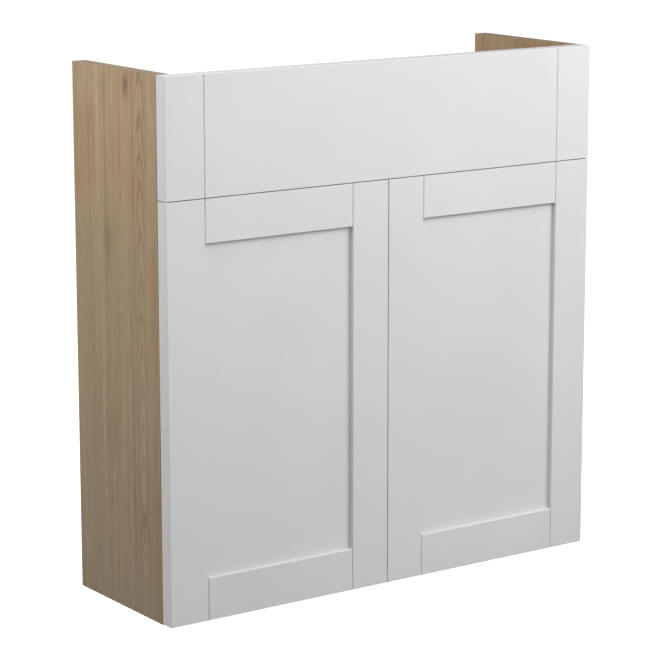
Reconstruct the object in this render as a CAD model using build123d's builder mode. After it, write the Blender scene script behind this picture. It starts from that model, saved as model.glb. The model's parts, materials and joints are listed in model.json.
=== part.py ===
from build123d import *
import math
import os

os.makedirs("parts", exist_ok=True)

# Slim open-topped vanity base unit, in millimetres. +Z is up, the doors face -Y,
# and the origin is the middle of the footprint on the floor.

# Carcass
unit_width = 600.0
unit_height = 622.0
carcass_depth = 183.0
board = 18.0  # thickness of every carcass board
board_ease = 0.4  # rounding of the boards' edges

# Rails between the side panels
front_rail_height = 110.0
front_rail_lap = 25.0  # its lower part, which the door tops close against
wall_rail_height = 80.0
wall_rail_drop = 42.0  # from the side panels' top down to the wall rail
foot_rail_height = 80.0
wall_hole_radius = 3.5
wall_hole_spacing = 400.0

# Doors and fascia
front_board = 18.0  # thickness of the frames and of the fascia
front_gap = 1.0  # between the carcass and the backs of the fronts
door_height = 483.0
door_rise = 1.0  # from the floor to the doors' lower edge
front_split = 1.0  # between the doors, and between doors and fascia
stile_width = 50.0
rail_width = 50.0
recess = 6.0  # from the frame's face back to the centre panel's face
panel_thickness = 6.0
groove_depth = 8.0
groove_clearance = 0.1
outer_round = 0.6
joint_bevel = 0.7  # each side of the fine V at a stile and rail joint, across the face
joint_depth = 1.5  # of that V, behind the face

# Joint fittings of the carcass
dowel_radius = 4.0
dowel_length = 34.0
dowel_bevel = 1.0
dowel_seat = 10.0  # length of a dowel that sits in the side panel
hole_play = 0.05  # radial room round a glued or driven piece
hole_spare = 1.0  # depth of a blind hole past the piece in it
fitting_edge = 30.0  # from the base panel's edge to its first cam lock
fitting_pitch = 32.0  # from a cam lock to the dowel beside it
cam_radius = 7.5
cam_height = 12.0
cam_setback = 34.0  # from the board's end to the cam lock's middle
cam_socket = 4.0  # half of the hollow that takes the bolt's head
cam_slot_width = 1.4
cam_slot_margin = 1.0  # from the cam's rim to the slot's ends
cam_slot_depth = 2.0
bolt_thread_radius = 2.5
bolt_thread_length = 11.0
bolt_shank_radius = 2.0
bolt_head_radius = 2.8
bolt_head_length = 5.0

# Fascia fixings
fascia_dowel_length = 40.0
fascia_dowel_edge = 16.0  # from the fascia's top or bottom to its dowels
spacer_radius = 7.0
fascia_screw_radius = 2.0
fascia_screw_bite = 11.0  # depth of the screws in the fascia
fascia_screw_edge = 16.0  # from the front rail's end to the first screw
fascia_screw_rise = 42.0  # from the front rail's middle, where the lower screws are, to the upper ones
fascia_screw_columns = 4
screw_head_radius = 4.0
screw_head_height = 2.4
driver_width = 1.0
driver_length = 4.4
driver_depth = 1.4

# Concealed hinges: two linked levers per hinge let the door swing clear of the side panel.
# A place in the hinge's plan is (distance from the side panel's outer face, distance behind
# the carcass front) with the left door shut.
hinge_inset = 95.0  # from the door's top or bottom to the hinge's middle
door_turn = 95.0
main_link_turn = 45.7
guide_link_turn = 37.4
main_link_arm_pin = (33.3, 14.0)
main_link_cup_pin = (11.4, -3.4)
main_link_knee = (19.3, -5.3)
guide_link_arm_pin = (38.2, 3.6)
guide_link_cup_pin = (15.2, -7.5)
guide_link_knee = (23.9, -9.5)
link_half_width = 1.7
main_link_half_height = 3.0
guide_link_thickness = 1.5
link_side_play = 0.3
link_pin_radius = 1.1
link_pin_play = 0.05
slot_play = 0.15
slot_wall = 0.8
travel_steps = 8  # stations at which the guide link's jaw is worked out
cup_edge = 5.0  # from the door's edge to the cup's bore
cup_bore_radius = 17.5
cup_bore_depth = 12.5
cup_depth = 12.2
cup_wall = 1.2
cup_floor = 1.0
wing_thickness = 1.0
wing_start = 19.0  # from the door's edge
wing_end = 42.0
wing_half_height = 31.0
wing_corner = 5.0
cup_screw_pitch = 48.0
cup_screw_offset = 6.0  # from the cup's middle towards the door's middle
cup_screw_radius = 1.6
cup_screw_bite = 13.0
arm_sheet = 1.5
arm_eye = 3.2
arm_low = 24.5  # the channel's open side, from the side panel's outer face
arm_length = 62.0  # from the carcass front
arm_web_start = 20.0
arm_screw_rows = (31.0, 51.0)
arm_screw_radius = 2.5
arm_screw_bite = 8.0
plate_thickness = 3.0
plate_row = 37.0  # from the carcass front to the plate's screws
plate_screw_pitch = 32.0
plate_wing_width = 14.0
plate_rail_start = 24.0
plate_rail_end = 58.0
plate_screw_radius = 2.5
plate_screw_bite = 12.0

# Clear pads on the doors' backs
buffer_radius = 4.0
buffer_gap = 0.1
buffer_edge = 12.0  # from the meeting edge, and from the edge of what the pad meets

# Worked out from the sizes above
half_width = unit_width / 2
inner_half = half_width - board
unit_depth = front_board + front_gap + carcass_depth
front_y = -unit_depth / 2
door_back = front_y + front_board
carcass_front = door_back + front_gap
carcass_back = unit_depth / 2
door_top = door_rise + door_height
fascia_low = door_top + front_split
fascia_height = unit_height - fascia_low
meeting_edge = -front_split / 2  # the left door's edge beside the other door
hinge_heights = (door_rise + hinge_inset, door_top - hinge_inset)
cup_middle = cup_edge + cup_bore_radius
front_rail_low = door_top - front_rail_lap
wall_rail_low = unit_height - wall_rail_drop - wall_rail_height
foot_rail_low = board
UP = (0, 0, 1)
BACK = (0, 1, 0)
DOWN = (0, 0, -1)
FORWARD = (0, -1, 0)


def finish(piece, name):
    """Label a finished piece and write it."""
    piece.part.label = name
    export_step(piece.part, f"parts/{name}.step")


def block(x, y, z, mode=Mode.ADD):
    """Add or cut a block between three pairs of coordinates."""
    with Locations((sum(x) / 2, sum(y) / 2, sum(z) / 2)):
        Box(x[1] - x[0], y[1] - y[0], z[1] - z[0], mode=mode)


def drill(seat, radius, depth):
    """Cut a round hole from a plane along its normal."""
    with Locations(seat):
        Cylinder(radius, depth, align=(Align.CENTER, Align.CENTER, Align.MIN), mode=Mode.SUBTRACT)


def end_seats(y, z, face):
    """Planes at both ends of a cross board, looking along it, with x towards the cams' open face."""
    return [Plane(origin=(side * inner_half, y, z), x_dir=face, z_dir=(-side, 0, 0)) for side in (-1, 1)]


# Each cross board's fittings: seats of its cam locks and seats of its dowels
base_rows = (carcass_front + fitting_edge, carcass_back - fitting_edge)
base_dowel_rows = (base_rows[0] + fitting_pitch, base_rows[1] - fitting_pitch)
base_cams = [seat for y in base_rows for seat in end_seats(y, board / 2, DOWN)]
base_dowels = [seat for y in base_dowel_rows for seat in end_seats(y, board / 2, DOWN)]


def rail_fittings(rail_front, low, height):
    """Cam and dowel seats of an upright cross rail."""
    middle = rail_front + board / 2
    centre = low + height / 2
    cams = end_seats(middle, centre + fitting_pitch / 2, BACK)
    dowels = end_seats(middle, centre - fitting_pitch / 2, BACK)
    return cams, dowels


rail_places = {
    "front_rail": (carcass_front, front_rail_low, front_rail_height),
    "wall_rail": (carcass_back - board, wall_rail_low, wall_rail_height),
    "foot_rail": (carcass_back - board, foot_rail_low, foot_rail_height),
}
rail_seats = {name: rail_fittings(*place) for name, place in rail_places.items()}
cam_seats = base_cams + [seat for cams, dowels in rail_seats.values() for seat in cams]
dowel_seats = base_dowels + [seat for cams, dowels in rail_seats.values() for seat in dowels]


plate_screw_places = [
    (carcass_front + plate_row, height + offset)
    for height in hinge_heights
    for offset in (-plate_screw_pitch / 2, plate_screw_pitch / 2)
]


def fascia_screw_seats():
    """Planes at the back of the front rail where the fascia's screws go in, looking forwards."""
    reach = inner_half - fascia_screw_edge
    step = 2 * reach / (fascia_screw_columns - 1)
    middle = front_rail_low + front_rail_height / 2
    return [
        Plane(origin=(-reach + column * step, carcass_front + board, z), x_dir=UP, z_dir=FORWARD)
        for column in range(fascia_screw_columns)
        for z in (middle, middle + fascia_screw_rise)
    ]


def drill_board_end(cams, dowels):
    """Cut the holes for cam locks, bolts and dowels in a cross board."""
    for seat in cams:
        drill(seat, dowel_radius + hole_play, cam_setback)
        pocket = Plane(
            origin=seat.origin + seat.z_dir * cam_setback + seat.x_dir * board / 2,
            x_dir=seat.z_dir,
            z_dir=-seat.x_dir,
        )
        drill(pocket, cam_radius + hole_play, cam_height)
    for seat in dowels:
        drill(seat, dowel_radius + hole_play, dowel_length - dowel_seat + hole_spare)


# Side panels
def side_panel(side):
    """One side panel with its blind holes: side is -1 on the left and +1 on the right."""
    outer_face = -half_width if side < 0 else inner_half
    with BuildPart() as panel:
        with BuildSketch(Plane.YZ.offset(outer_face)):
            with Locations((carcass_front + carcass_depth / 2, unit_height / 2)):
                Rectangle(carcass_depth, unit_height)
        extrude(amount=board)
        fillet(panel.edges(), board_ease)
        bolt_hole = (bolt_thread_radius + hole_play, bolt_thread_length)
        dowel_hole = (dowel_radius + hole_play, dowel_seat + hole_spare)
        for seats, hole in ((cam_seats, bolt_hole), (dowel_seats, dowel_hole)):
            for seat in seats:
                if seat.origin.X * side > 0:
                    drill(Plane(seat.origin, z_dir=-seat.z_dir), *hole)
        for y, z in plate_screw_places:
            pilot = Plane((side * inner_half, y, z), z_dir=(side, 0, 0))
            drill(pilot, plate_screw_radius + hole_play, plate_screw_bite + hole_spare)
    return panel


finish(side_panel(-1), "side_panel_left")
finish(side_panel(1), "side_panel_right")

# Base panel
with BuildPart() as base_panel:
    with BuildSketch():
        with Locations((0, carcass_front + carcass_depth / 2)):
            Rectangle(2 * inner_half, carcass_depth)
    extrude(amount=board)
    fillet(base_panel.edges().filter_by(Axis.X), board_ease)
    drill_board_end(base_cams, base_dowels)
finish(base_panel, "base_panel")


# Rails: one behind the fascia, one for the wall screws and one on the base panel
def cross_rail(name):
    """An upright board between the side panels, with its end holes."""
    rail_front, low, height = rail_places[name]
    with BuildPart() as rail:
        with BuildSketch(Plane.XZ.offset(-rail_front)):
            with Locations((0, low + height / 2)):
                Rectangle(2 * inner_half, height)
        extrude(amount=-board)
        fillet(rail.edges().filter_by(Axis.X), board_ease)
        drill_board_end(*rail_seats[name])
        if name == "wall_rail":
            with Locations(Plane.XZ.offset(-rail_front)):
                with Locations((0, low + height / 2)):
                    with GridLocations(wall_hole_spacing, 0, 2, 1):
                        Cylinder(wall_hole_radius, 2 * board, mode=Mode.SUBTRACT)
        if name == "front_rail":
            for seat in fascia_screw_seats():
                drill(seat, fascia_screw_radius + hole_play, board)
    return rail


for rail_name in rail_places:
    finish(cross_rail(rail_name), rail_name)

# Wooden dowels of the carcass
with BuildPart() as dowel:
    with BuildSketch(Plane.XY.offset(-dowel_seat)):
        Circle(dowel_radius)
    extrude(amount=dowel_length)
    chamfer(dowel.edges(), dowel_bevel)
with BuildPart() as carcass_dowels:
    with Locations(*dowel_seats):
        add(dowel.part)
finish(carcass_dowels, "carcass_dowels")

# Cam bolts: thread in the side panel, shank and head in the cross board
with BuildPart() as cam_bolt:
    with BuildSketch():
        Circle(bolt_thread_radius)
    extrude(amount=-bolt_thread_length)
    with BuildSketch():
        Circle(bolt_shank_radius)
    extrude(amount=cam_setback)
    with BuildSketch(Plane.XY.offset(cam_setback - bolt_head_length / 2)):
        Circle(bolt_head_radius)
    extrude(amount=bolt_head_length)
with BuildPart() as cam_bolts:
    with Locations(*cam_seats):
        add(cam_bolt.part)
finish(cam_bolts, "cam_bolts")

# Cam locks: discs with a socket for the bolt's head and a cross slot for the driver
with BuildPart() as cam_lock:
    with BuildSketch(Plane.YZ.offset(board / 2)):
        with Locations((0, cam_setback)):
            Circle(cam_radius)
    extrude(amount=-cam_height)
    socket = (-cam_socket, cam_socket)
    block(socket, socket, (cam_setback - cam_socket, cam_setback + cam_socket), Mode.SUBTRACT)
    block(
        (-board, bolt_shank_radius + hole_play),
        (-bolt_shank_radius - hole_play, bolt_shank_radius + hole_play),
        (cam_setback - cam_radius, cam_setback),
        Mode.SUBTRACT,
    )
    slot_half, slot_reach = cam_slot_width / 2, cam_radius - cam_slot_margin
    for half_y, half_z in ((slot_half, slot_reach), (slot_reach, slot_half)):
        block(
            (board / 2 - cam_slot_depth, board / 2),
            (-half_y, half_y),
            (cam_setback - half_z, cam_setback + half_z),
            Mode.SUBTRACT,
        )
with BuildPart() as cam_locks:
    with Locations(*cam_seats):
        add(cam_lock.part)
finish(cam_locks, "cam_locks")


# Fascia: two upright stiles and a wide rail, glued with dowels, flush with fine V joints
fascia_rail_reach = half_width - stile_width
fascia_dowel_heights = (fascia_low + fascia_dowel_edge, unit_height - fascia_dowel_edge)
fascia_dowel_seats = [
    Plane(origin=(side * fascia_rail_reach, front_y + front_board / 2, z), z_dir=(side, 0, 0))
    for side in (-1, 1)
    for z in fascia_dowel_heights
]


def front_face():
    """The plane of the doors' and the fascia's faces, looking back at it from the room."""
    return Plane.XZ.offset(-front_y)


def round_edges(edges):
    """Round the outer arrises of a front."""
    fillet(edges, outer_round)


def bevel_joint(piece, edges):
    """Cut one side of the narrow, deep V along face edges of a front's piece."""
    chamfer(edges, joint_bevel, joint_depth, reference=piece.faces().sort_by(Axis.Y)[0])


def fascia_drill(low_x, high_x):
    """Cut the dowel holes and the screw holes of one fascia piece."""
    for seat in fascia_dowel_seats:
        with Locations(seat):
            Cylinder(dowel_radius + hole_play, fascia_dowel_length + 2 * hole_spare, mode=Mode.SUBTRACT)
    for seat in fascia_screw_seats():
        if low_x < seat.origin.X < high_x:
            pilot = Plane((seat.origin.X, door_back, seat.origin.Z), z_dir=FORWARD)
            drill(pilot, fascia_screw_radius + hole_play, fascia_screw_bite + hole_spare)


with BuildPart() as fascia_left_stile:
    with BuildSketch(front_face()):
        with Locations((-half_width + stile_width / 2, fascia_low + fascia_height / 2)):
            Rectangle(stile_width, fascia_height)
    extrude(amount=-front_board)
    face_edges = fascia_left_stile.edges().group_by(Axis.Y)[0]
    bevel_joint(fascia_left_stile, face_edges.sort_by(Axis.X)[-1])
    face_edges = fascia_left_stile.edges().group_by(Axis.Y)[0]
    round_edges(face_edges.filter_by(Axis.X) + face_edges.filter_by(Axis.Z).sort_by(Axis.X)[:1])
    fascia_drill(-half_width, -fascia_rail_reach)
finish(fascia_left_stile, "fascia_left_stile")

with BuildPart() as fascia_right_stile:
    mirror(fascia_left_stile.part, about=Plane.YZ)
finish(fascia_right_stile, "fascia_right_stile")

with BuildPart() as fascia_rail:
    with BuildSketch(front_face()):
        with Locations((0, fascia_low + fascia_height / 2)):
            Rectangle(2 * fascia_rail_reach, fascia_height)
    extrude(amount=-front_board)
    face_edges = fascia_rail.edges().group_by(Axis.Y)[0]
    bevel_joint(fascia_rail, face_edges.filter_by(Axis.Z))
    round_edges(fascia_rail.edges().group_by(Axis.Y)[0].filter_by(Axis.X))
    fascia_drill(-fascia_rail_reach, fascia_rail_reach)
finish(fascia_rail, "fascia_rail")

with BuildPart() as fascia_dowel:
    with BuildSketch(Plane.XY.offset(-fascia_dowel_length / 2)):
        Circle(dowel_radius)
    extrude(amount=fascia_dowel_length)
    chamfer(fascia_dowel.edges(), dowel_bevel)
with BuildPart() as fascia_dowels:
    with Locations(*fascia_dowel_seats):
        add(fascia_dowel.part)
finish(fascia_dowels, "fascia_dowels")

# Washers that keep the fascia as far off the carcass as the doors
with BuildPart() as fascia_spacers:
    for seat in fascia_screw_seats():
        with BuildSketch(Plane((seat.origin.X, carcass_front, seat.origin.Z), z_dir=FORWARD)):
            Circle(spacer_radius)
            Circle(fascia_screw_radius + hole_play, mode=Mode.SUBTRACT)
    extrude(amount=front_gap)
finish(fascia_spacers, "fascia_spacers")


def screw(shank_radius, length, head_radius, head_height):
    """A pan-head screw with a cross slot: its head's underside is at the origin and it points up."""
    with BuildPart() as piece:
        with BuildSketch():
            Circle(shank_radius)
        extrude(amount=length)
        chamfer(piece.edges().group_by(Axis.Z)[-1], shank_radius / 2)
        with BuildSketch():
            Circle(head_radius)
        extrude(amount=-head_height)
        fillet(piece.edges().group_by(Axis.Z)[0], head_height / 2)
        with BuildSketch(Plane.XY.offset(-head_height)):
            Rectangle(driver_width, driver_length)
            Rectangle(driver_length, driver_width)
        extrude(amount=driver_depth, mode=Mode.SUBTRACT)
    return piece


fascia_screw_length = board + front_gap + fascia_screw_bite
fascia_screw = screw(fascia_screw_radius, fascia_screw_length, screw_head_radius, screw_head_height)
with BuildPart() as fascia_screws:
    with Locations(*fascia_screw_seats()):
        add(fascia_screw.part)
finish(fascia_screws, "fascia_screws")


# Doors: a grooved frame of two full-height stiles and two tenoned rails round a recessed panel
frame_inner = -half_width + stile_width
frame_outer = meeting_edge - stile_width
groove_front = front_y + recess
panel_low = door_rise + rail_width
panel_top = door_top - rail_width


def cup_screw_seats(height):
    """Planes on a cup's wings where its screws go in, looking forwards."""
    x = -half_width + cup_middle + cup_screw_offset
    heads, half_pitch = door_back + wing_thickness, cup_screw_pitch / 2
    return [Plane((x, heads, height + offset), z_dir=FORWARD) for offset in (-half_pitch, half_pitch)]


def door_stile(low_x, high_x, inner_side):
    """One full-height stile: inner_side is +1 where its inner edge is on the right, -1 on the left."""
    with BuildPart() as stile:
        with BuildSketch(Plane.XY.offset(door_rise)):
            with Locations(((low_x + high_x) / 2, (front_y + door_back) / 2)):
                Rectangle(high_x - low_x, front_board)
        extrude(amount=door_height)
        pick = -1 if inner_side > 0 else 0
        face_edges = stile.edges().group_by(Axis.Y)[0]
        bevel_joint(stile, face_edges.filter_by(Axis.Z).sort_by(Axis.X)[pick])
        face_edges = stile.edges().group_by(Axis.Y)[0]
        outer_edge = face_edges.filter_by(Axis.Z).sort_by(Axis.X)[-1 - pick]
        round_edges(face_edges.filter_by(Axis.X) + ShapeList([outer_edge]))
        groove = (high_x - groove_depth, high_x) if inner_side > 0 else (low_x, low_x + groove_depth)
        block(groove, (groove_front, groove_front + panel_thickness), (door_rise, door_top), Mode.SUBTRACT)
        if inner_side > 0:
            for height in hinge_heights:
                bore = Plane((-half_width + cup_middle, door_back, height), z_dir=FORWARD)
                drill(bore, cup_bore_radius, cup_bore_depth)
                cup_screw_hole = (cup_screw_radius + hole_play, cup_screw_bite + hole_spare)
                for seat in cup_screw_seats(height):
                    drill(seat.offset(wing_thickness), *cup_screw_hole)
    return stile


def door_rail(low, outer_side):
    """One rail with a stub tenon at each end: outer_side is +1 for the top rail, -1 for the bottom one."""
    high = low + rail_width
    tenon_reach = groove_depth - groove_clearance
    tenon = (groove_front + groove_clearance, groove_front + panel_thickness - groove_clearance)
    with BuildPart() as rail:
        with BuildSketch(front_face()):
            with Locations(((frame_inner + frame_outer) / 2, low + rail_width / 2)):
                Rectangle(frame_outer - frame_inner, rail_width)
        extrude(amount=-front_board)
        pick = -1 if outer_side > 0 else 0
        face_edges = rail.edges().group_by(Axis.Y)[0]
        recess_edge = face_edges.filter_by(Axis.X).sort_by(Axis.Z)[-1 - pick]
        bevel_joint(rail, face_edges.filter_by(Axis.Z) + ShapeList([recess_edge]))
        face_edges = rail.edges().group_by(Axis.Y)[0]
        round_edges(ShapeList([face_edges.filter_by(Axis.X).sort_by(Axis.Z)[pick]]))
        block((frame_inner - tenon_reach, frame_outer + tenon_reach), tenon, (low, high))
        groove = (low, low + groove_depth) if outer_side > 0 else (high - groove_depth, high)
        block(
            (frame_inner - tenon_reach, frame_outer + tenon_reach),
            (groove_front, groove_front + panel_thickness),
            groove,
            Mode.SUBTRACT,
        )
    return rail


def centre_panel():
    """The recessed panel, held in the frame's grooves on all four sides."""
    reach = groove_depth - groove_clearance
    with BuildPart() as panel:
        block(
            (frame_inner - reach, frame_outer + reach),
            (groove_front, groove_front + panel_thickness - groove_clearance),
            (panel_low - reach, panel_top + reach),
        )
    return panel


def mirrored(piece):
    """The right-hand twin of a left-hand piece."""
    with BuildPart() as twin:
        mirror(piece.part, about=Plane.YZ)
    return twin


left_door = {
    "hinge_stile": door_stile(-half_width, frame_inner, 1),
    "meeting_stile": door_stile(frame_outer, meeting_edge, -1),
    "top_rail": door_rail(panel_top, 1),
    "bottom_rail": door_rail(door_rise, -1),
    "centre_panel": centre_panel(),
}
for piece_name, piece in left_door.items():
    finish(piece, "left_" + piece_name)
    finish(mirrored(piece), "right_" + piece_name)


# Hinges
def hinge_plan(height, offset=0.0):
    """The plan of a left hinge: x from the side panel's outer face, y behind the carcass front."""
    return Plane((-half_width, carcass_front, height + offset), x_dir=(1, 0, 0), z_dir=UP)


def both_sides(piece):
    """A left-hand group of pieces together with its right-hand twin."""
    with BuildPart() as pair:
        add(piece.part)
        mirror(piece.part, about=Plane.YZ)
    return pair


def turned(place, centre, angle):
    """A place in the hinge's plan after a turn about another one."""
    spoke = Vector(*place) - Vector(*centre)
    return Vector(*centre) + spoke.rotate(Axis.Z, angle)


def travel_in_guide_link(cup_pin):
    """A cup pin's places in the guide link's own plan as the door swings open."""
    places = []
    for step in range(travel_steps + 1):
        share = step / travel_steps
        carried = turned(main_link_cup_pin, main_link_arm_pin, share * main_link_turn)
        spoke = Vector(*cup_pin) - Vector(*main_link_cup_pin)
        pin = carried + spoke.rotate(Axis.Z, -share * door_turn)
        places.append(turned((pin.X, pin.Y), guide_link_arm_pin, -share * guide_link_turn))
    return places


def leg(start, end, half_width_here, mode=Mode.ADD):
    """A round-ended bar between two places in a sketch."""
    span = Vector(*end) - Vector(*start)
    angle = math.degrees(math.atan2(span.Y, span.X))
    with Locations((Vector(*start) + Vector(*end)) / 2):
        SlotCenterToCenter(span.length, 2 * half_width_here, rotation=angle, mode=mode)


pin_travel = travel_in_guide_link(guide_link_cup_pin)
passing_travel = travel_in_guide_link(main_link_cup_pin)
slot_ends = max(
    ((near, far) for near in pin_travel for far in pin_travel),
    key=lambda pair: (pair[1] - pair[0]).length,
)
slot_line = (slot_ends[1] - slot_ends[0]).normalized()
slot_drift = max(abs((place - slot_ends[0]).cross(slot_line).Z) for place in pin_travel)
slot_half_width = link_pin_radius + slot_play + slot_drift

# Main links: they carry the door
with BuildPart() as main_links:
    for height in hinge_heights:
        with BuildSketch(hinge_plan(height, -main_link_half_height)):
            leg(main_link_arm_pin, main_link_knee, link_half_width)
            leg(main_link_knee, main_link_cup_pin, link_half_width)
            with Locations(main_link_arm_pin, main_link_cup_pin):
                Circle(link_pin_radius + link_pin_play, mode=Mode.SUBTRACT)
    extrude(amount=2 * main_link_half_height)

# Guide links: pairs of plates beside the main link. Each ends in a jaw in which the cup's
# guide pin slides, cut back where the cup's other pin passes.
guide_link_levels = (
    main_link_half_height + link_side_play,
    -main_link_half_height - link_side_play - guide_link_thickness,
)
with BuildPart() as guide_links:
    for height in hinge_heights:
        for level in guide_link_levels:
            with BuildSketch(hinge_plan(height, level)):
                leg(guide_link_arm_pin, guide_link_knee, link_half_width)
                leg(guide_link_knee, guide_link_cup_pin, link_half_width)
                leg(*slot_ends, slot_half_width + slot_wall)
                leg(*slot_ends, slot_half_width, Mode.SUBTRACT)
                for near, far in zip(passing_travel, passing_travel[1:]):
                    leg(near, far, link_pin_radius + slot_play, Mode.SUBTRACT)
                with Locations(guide_link_arm_pin):
                    Circle(link_pin_radius + link_pin_play, mode=Mode.SUBTRACT)
    extrude(amount=guide_link_thickness)

# Arms: folded channels over the mounting plates, with the links' fixed pins in their noses
arm_inside = main_link_half_height + guide_link_thickness + 3 * link_side_play
arm_outside = arm_inside + arm_sheet
arm_high = main_link_arm_pin[0] + arm_eye
with BuildPart() as arms:
    for height in hinge_heights:
        for level in (arm_inside, -arm_outside):
            with BuildSketch(hinge_plan(height, level)):
                leg(guide_link_arm_pin, main_link_arm_pin, arm_eye)
                with Locations(((arm_low + arm_high) / 2, (main_link_arm_pin[1] + arm_length) / 2)):
                    Rectangle(arm_high - arm_low, arm_length - main_link_arm_pin[1])
                with Locations(guide_link_arm_pin, main_link_arm_pin):
                    Circle(link_pin_radius + hole_play, mode=Mode.SUBTRACT)
            extrude(amount=arm_sheet)
        with BuildSketch(hinge_plan(height, -arm_outside)):
            with Locations((arm_high - arm_sheet / 2, (arm_web_start + arm_length) / 2)):
                Rectangle(arm_sheet, arm_length - arm_web_start)
        extrude(amount=2 * arm_outside)
        for row in arm_screw_rows:
            drill(
                Plane((-half_width + arm_high, carcass_front + row, height), z_dir=(-1, 0, 0)),
                arm_screw_radius + hole_play,
                arm_sheet,
            )
finish(both_sides(arms), "hinge_arms")

# Pins fixed in the arms
with BuildPart() as arm_pins:
    for height in hinge_heights:
        with BuildSketch(hinge_plan(height, -arm_outside)):
            with Locations(guide_link_arm_pin, main_link_arm_pin):
                Circle(link_pin_radius)
    extrude(amount=2 * arm_outside)
finish(both_sides(arm_pins), "arm_pins")

# Mounting plates on the side panels, with a raised rail inside each arm
with BuildPart() as plates:
    for height in hinge_heights:
        with BuildSketch(Plane((-inner_half, carcass_front, height), x_dir=BACK, z_dir=(1, 0, 0))):
            with Locations((plate_row, 0)):
                SlotCenterToCenter(plate_screw_pitch, plate_wing_width, rotation=90)
            with Locations(((plate_rail_start + plate_rail_end) / 2, 0)):
                Rectangle(plate_rail_end - plate_rail_start, 2 * arm_outside)
        extrude(amount=plate_thickness)
        rail_half = arm_inside - link_side_play
        block(
            (-inner_half, -half_width + arm_high - arm_sheet),
            (carcass_front + plate_rail_start, carcass_front + plate_rail_end),
            (height - rail_half, height + rail_half),
        )
        for row in arm_screw_rows:
            drill(
                Plane((-half_width + arm_high, carcass_front + row, height), z_dir=(-1, 0, 0)),
                arm_screw_radius + hole_play,
                arm_sheet + arm_screw_bite + hole_spare,
            )
    for y, z in plate_screw_places:
        drill(Plane((-inner_half, y, z), z_dir=(1, 0, 0)), plate_screw_radius + hole_play, plate_thickness)
finish(both_sides(plates), "hinge_plates")

plate_screw_length = plate_thickness + plate_screw_bite
plate_screw = screw(plate_screw_radius, plate_screw_length, screw_head_radius, screw_head_height)
with BuildPart() as plate_screws:
    for y, z in plate_screw_places:
        with Locations(Plane((-inner_half + plate_thickness, y, z), z_dir=(-1, 0, 0))):
            add(plate_screw.part)
finish(both_sides(plate_screws), "plate_screws")

arm_screw = screw(arm_screw_radius, arm_sheet + arm_screw_bite, screw_head_radius, screw_head_height)
with BuildPart() as arm_screws:
    for height in hinge_heights:
        for row in arm_screw_rows:
            with Locations(Plane((-half_width + arm_high, carcass_front + row, height), z_dir=(-1, 0, 0))):
                add(arm_screw.part)
finish(both_sides(arm_screws), "arm_screws")


# Cups sunk in the hinge stiles, with the links' moving pins across them
def cup_plane(height):
    """The plane of the door's back at a cup's middle, looking out of the cup."""
    return Plane((-half_width + cup_middle, door_back, height), x_dir=(1, 0, 0), z_dir=BACK)


cup_outside = cup_bore_radius - hole_play
cup_inside = cup_outside - cup_wall
cup_pin_places = (main_link_cup_pin, guide_link_cup_pin)
with BuildPart() as cups:
    for height in hinge_heights:
        mouth = cup_plane(height)
        with BuildSketch(mouth):
            Circle(cup_outside)
        extrude(amount=-cup_depth)
        with BuildSketch(mouth):
            with Locations(((wing_start + wing_end) / 2 - cup_middle, 0)):
                RectangleRounded(wing_end - wing_start, 2 * wing_half_height, wing_corner)
        extrude(amount=wing_thickness)
        with BuildSketch(mouth.offset(wing_thickness)):
            Circle(cup_inside)
        extrude(amount=-wing_thickness - cup_depth + cup_floor, mode=Mode.SUBTRACT)
        for seat in cup_screw_seats(height):
            drill(seat, cup_screw_radius + hole_play, wing_thickness)
        with BuildSketch(hinge_plan(height, -cup_outside)):
            with Locations(*cup_pin_places):
                Circle(link_pin_radius + hole_play)
        extrude(amount=2 * cup_outside, mode=Mode.SUBTRACT)

with BuildPart() as cup_pins:
    for place in cup_pin_places:
        rim_offset = abs(place[0] - cup_middle) + link_pin_radius
        reach = (cup_outside**2 - rim_offset**2) ** 0.5 - hole_play
        for height in hinge_heights:
            with BuildSketch(hinge_plan(height, -reach)):
                with Locations(place):
                    Circle(link_pin_radius)
        extrude(amount=2 * reach)

cup_screw = screw(cup_screw_radius, wing_thickness + cup_screw_bite, screw_head_radius, screw_head_height)
with BuildPart() as cup_screws:
    with Locations(*[seat for height in hinge_heights for seat in cup_screw_seats(height)]):
        add(cup_screw.part)

# Clear pads that meet the front rail above and the base panel below
with BuildPart() as buffers:
    for z in (front_rail_low + buffer_edge, board / 2):
        with BuildSketch(Plane((meeting_edge - buffer_edge, door_back, z), z_dir=BACK)):
            Circle(buffer_radius)
    extrude(amount=front_gap - buffer_gap)

left_hinge_pieces = {
    "main_links": main_links,
    "guide_links": guide_links,
    "hinge_cups": cups,
    "cup_pins": cup_pins,
    "cup_screws": cup_screws,
    "buffers": buffers,
}
for piece_name, piece in left_hinge_pieces.items():
    finish(piece, "left_" + piece_name)
    finish(mirrored(piece), "right_" + piece_name)
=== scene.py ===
"""Finishes a slim, open-topped vanity base unit: oak-foil board, matt white fronts, plated fittings."""

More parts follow.
